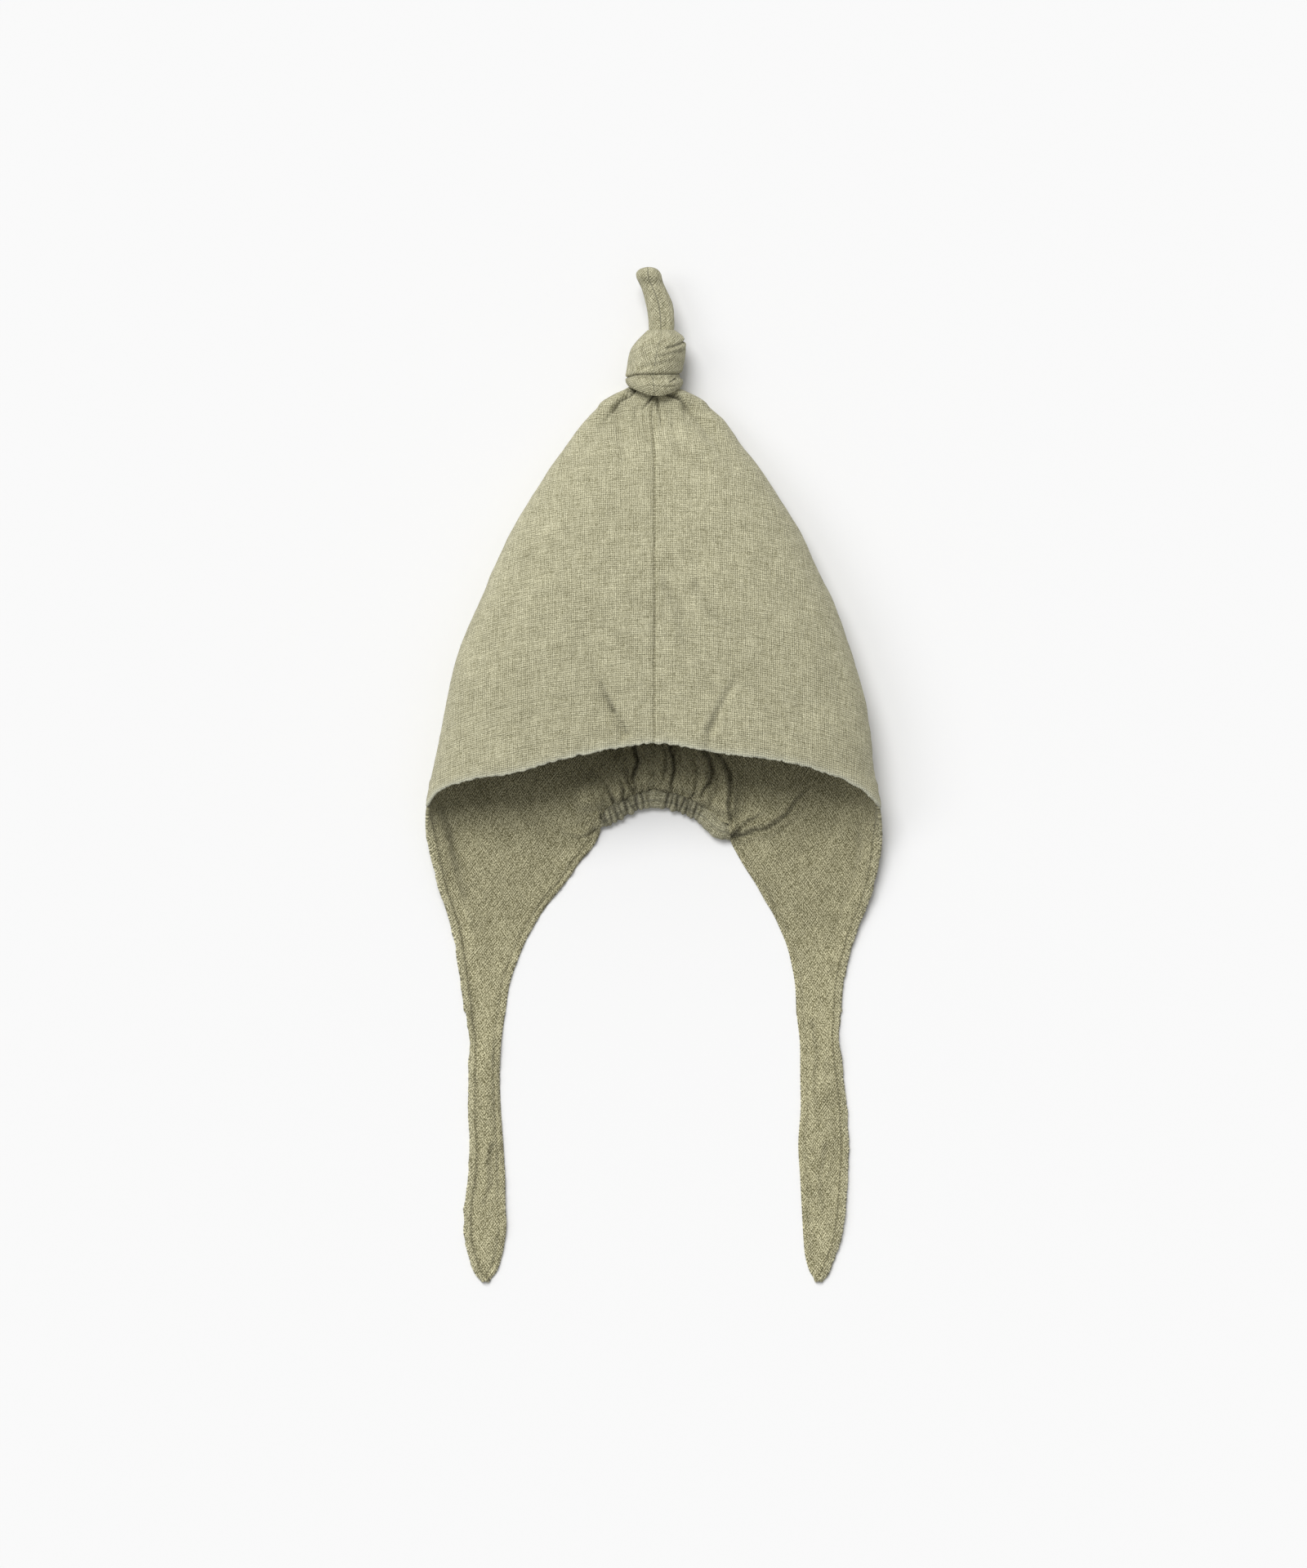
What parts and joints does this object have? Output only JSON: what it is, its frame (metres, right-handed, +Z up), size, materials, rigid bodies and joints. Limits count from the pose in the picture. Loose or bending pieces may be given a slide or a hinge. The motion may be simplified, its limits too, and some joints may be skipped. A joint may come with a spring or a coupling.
{
  "type": "baby bonnet with top knot and ties",
  "caption": "Soft woven pixie bonnet lying flat on its back: arched hood open at the face, gathered nape, ear flaps tapering into ties, knotted point.",
  "frame": {"origin": "on the surface it lies on, under the middle of its footprint", "axes": "+Y toward the knot, +Z up out of the surface through the front, +X to the right as seen from above"},
  "size_m": [0.2004, 0.447, 0.0421],
  "materials": {
    "cotton": "matte crinkled slub weave, sage green",
    "gathered_cotton": "matte gathered slub weave, sage green"
  },
  "bodies": {
    "root": {"crown_left": "cotton", "crown_right": "cotton", "tie_left": "cotton", "tie_right": "cotton", "nape_casing": "gathered_cotton", "top_knot": "cotton", "knot_tail": "cotton"}
  },
  "joints": []
}
